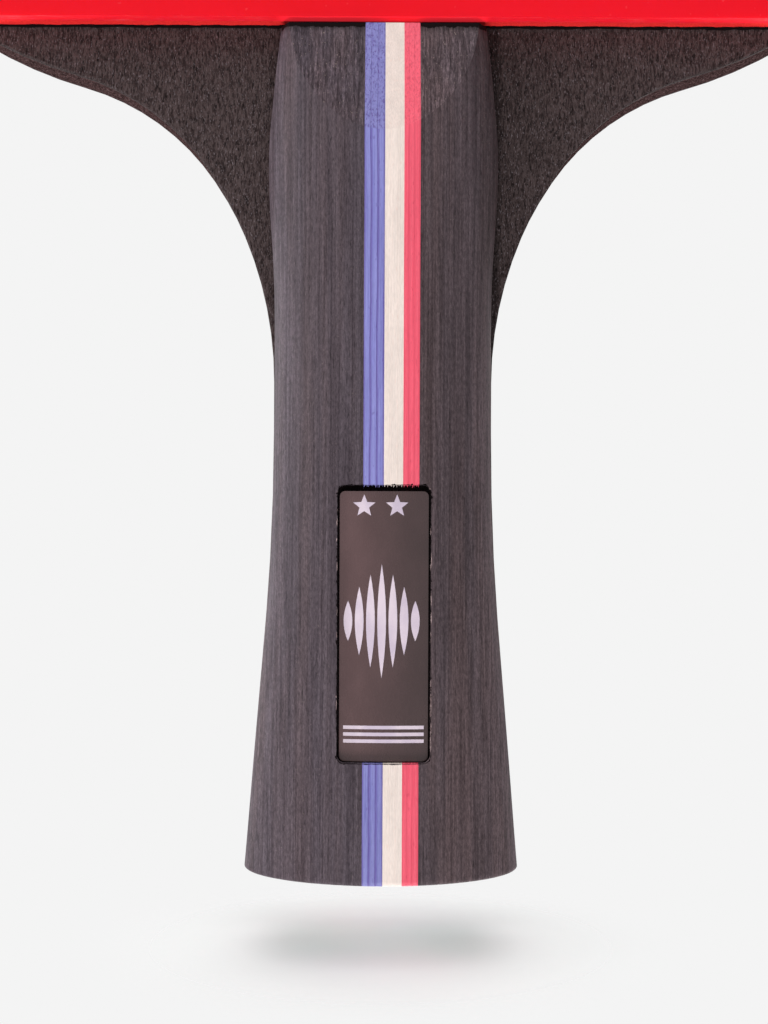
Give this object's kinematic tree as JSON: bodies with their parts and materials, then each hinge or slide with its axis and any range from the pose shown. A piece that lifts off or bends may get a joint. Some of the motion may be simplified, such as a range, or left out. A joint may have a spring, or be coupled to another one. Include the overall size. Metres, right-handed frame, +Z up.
{
  "type": "table tennis bat",
  "caption": "Shakehand table tennis bat: laminated blade with hollow shoulders, red and black rubbers, edge tape and a flared striped grip with a let-in badge.",
  "frame": {"origin": "lowest point of the domed butt, on the axis of the handle", "axes": "+Z up the handle to the top of the head, -Y out of the front (red) playing face, +X to the right as the front face is seen"},
  "size_m": [0.1508, 0.024, 0.2569],
  "materials": {
    "core_wood": "pale light core wood, end grain and edges bare",
    "inner_ply_wood": "stained ply, matte sawn edge",
    "stained_blade_wood": "dark stained limba-like ply, open grain, matte",
    "grip_wood": "dark grey-brown stained block, fine straight grain, satin",
    "blue_veneer_wood": "dyed lilac-blue veneer, satin",
    "white_veneer_wood": "bleached white veneer, satin",
    "red_veneer_wood": "dyed coral-red veneer, satin",
    "red_rubber": "smooth inverted top sheet, slightly tacky sheen",
    "black_rubber": "smooth inverted top sheet, slightly tacky sheen",
    "front_sponge_foam": "orange-red sponge, cut edge",
    "back_sponge_foam": "orange-red sponge, cut edge",
    "tape_fabric": "plain black woven edge tape",
    "badge_plastic": "smooth dark badge plate with pale printed figures"
  },
  "bodies": {
    "root": {"blade_core": "core_wood", "front_third_ply": "inner_ply_wood", "front_second_ply": "inner_ply_wood", "front_outer_ply": "stained_blade_wood", "back_third_ply": "inner_ply_wood", "back_second_ply": "inner_ply_wood", "back_outer_ply": "stained_blade_wood", "front_sponge": "front_sponge_foam", "back_sponge": "back_sponge_foam", "front_top_sheet": "red_rubber", "back_top_sheet": "black_rubber", "edge_tape": "tape_fabric", "front_grip_left_block": "grip_wood", "front_grip_blue_veneer_1": "blue_veneer_wood", "front_grip_blue_veneer_2": "blue_veneer_wood", "front_grip_blue_veneer_3": "blue_veneer_wood", "front_grip_white_veneer_1": "white_veneer_wood", "front_grip_white_veneer_2": "white_veneer_wood", "front_grip_white_veneer_3": "white_veneer_wood", "front_grip_red_veneer_1": "red_veneer_wood", "front_grip_red_veneer_2": "red_veneer_wood", "front_grip_red_veneer_3": "red_veneer_wood", "front_grip_right_block": "grip_wood", "back_grip_left_block": "grip_wood", "back_grip_blue_veneer_1": "blue_veneer_wood", "back_grip_blue_veneer_2": "blue_veneer_wood", "back_grip_blue_veneer_3": "blue_veneer_wood", "back_grip_white_veneer_1": "white_veneer_wood", "back_grip_white_veneer_2": "white_veneer_wood", "back_grip_white_veneer_3": "white_veneer_wood", "back_grip_red_veneer_1": "red_veneer_wood", "back_grip_red_veneer_2": "red_veneer_wood", "back_grip_red_veneer_3": "red_veneer_wood", "back_grip_right_block": "grip_wood", "badge_plate": "badge_plastic"}
  },
  "joints": []
}
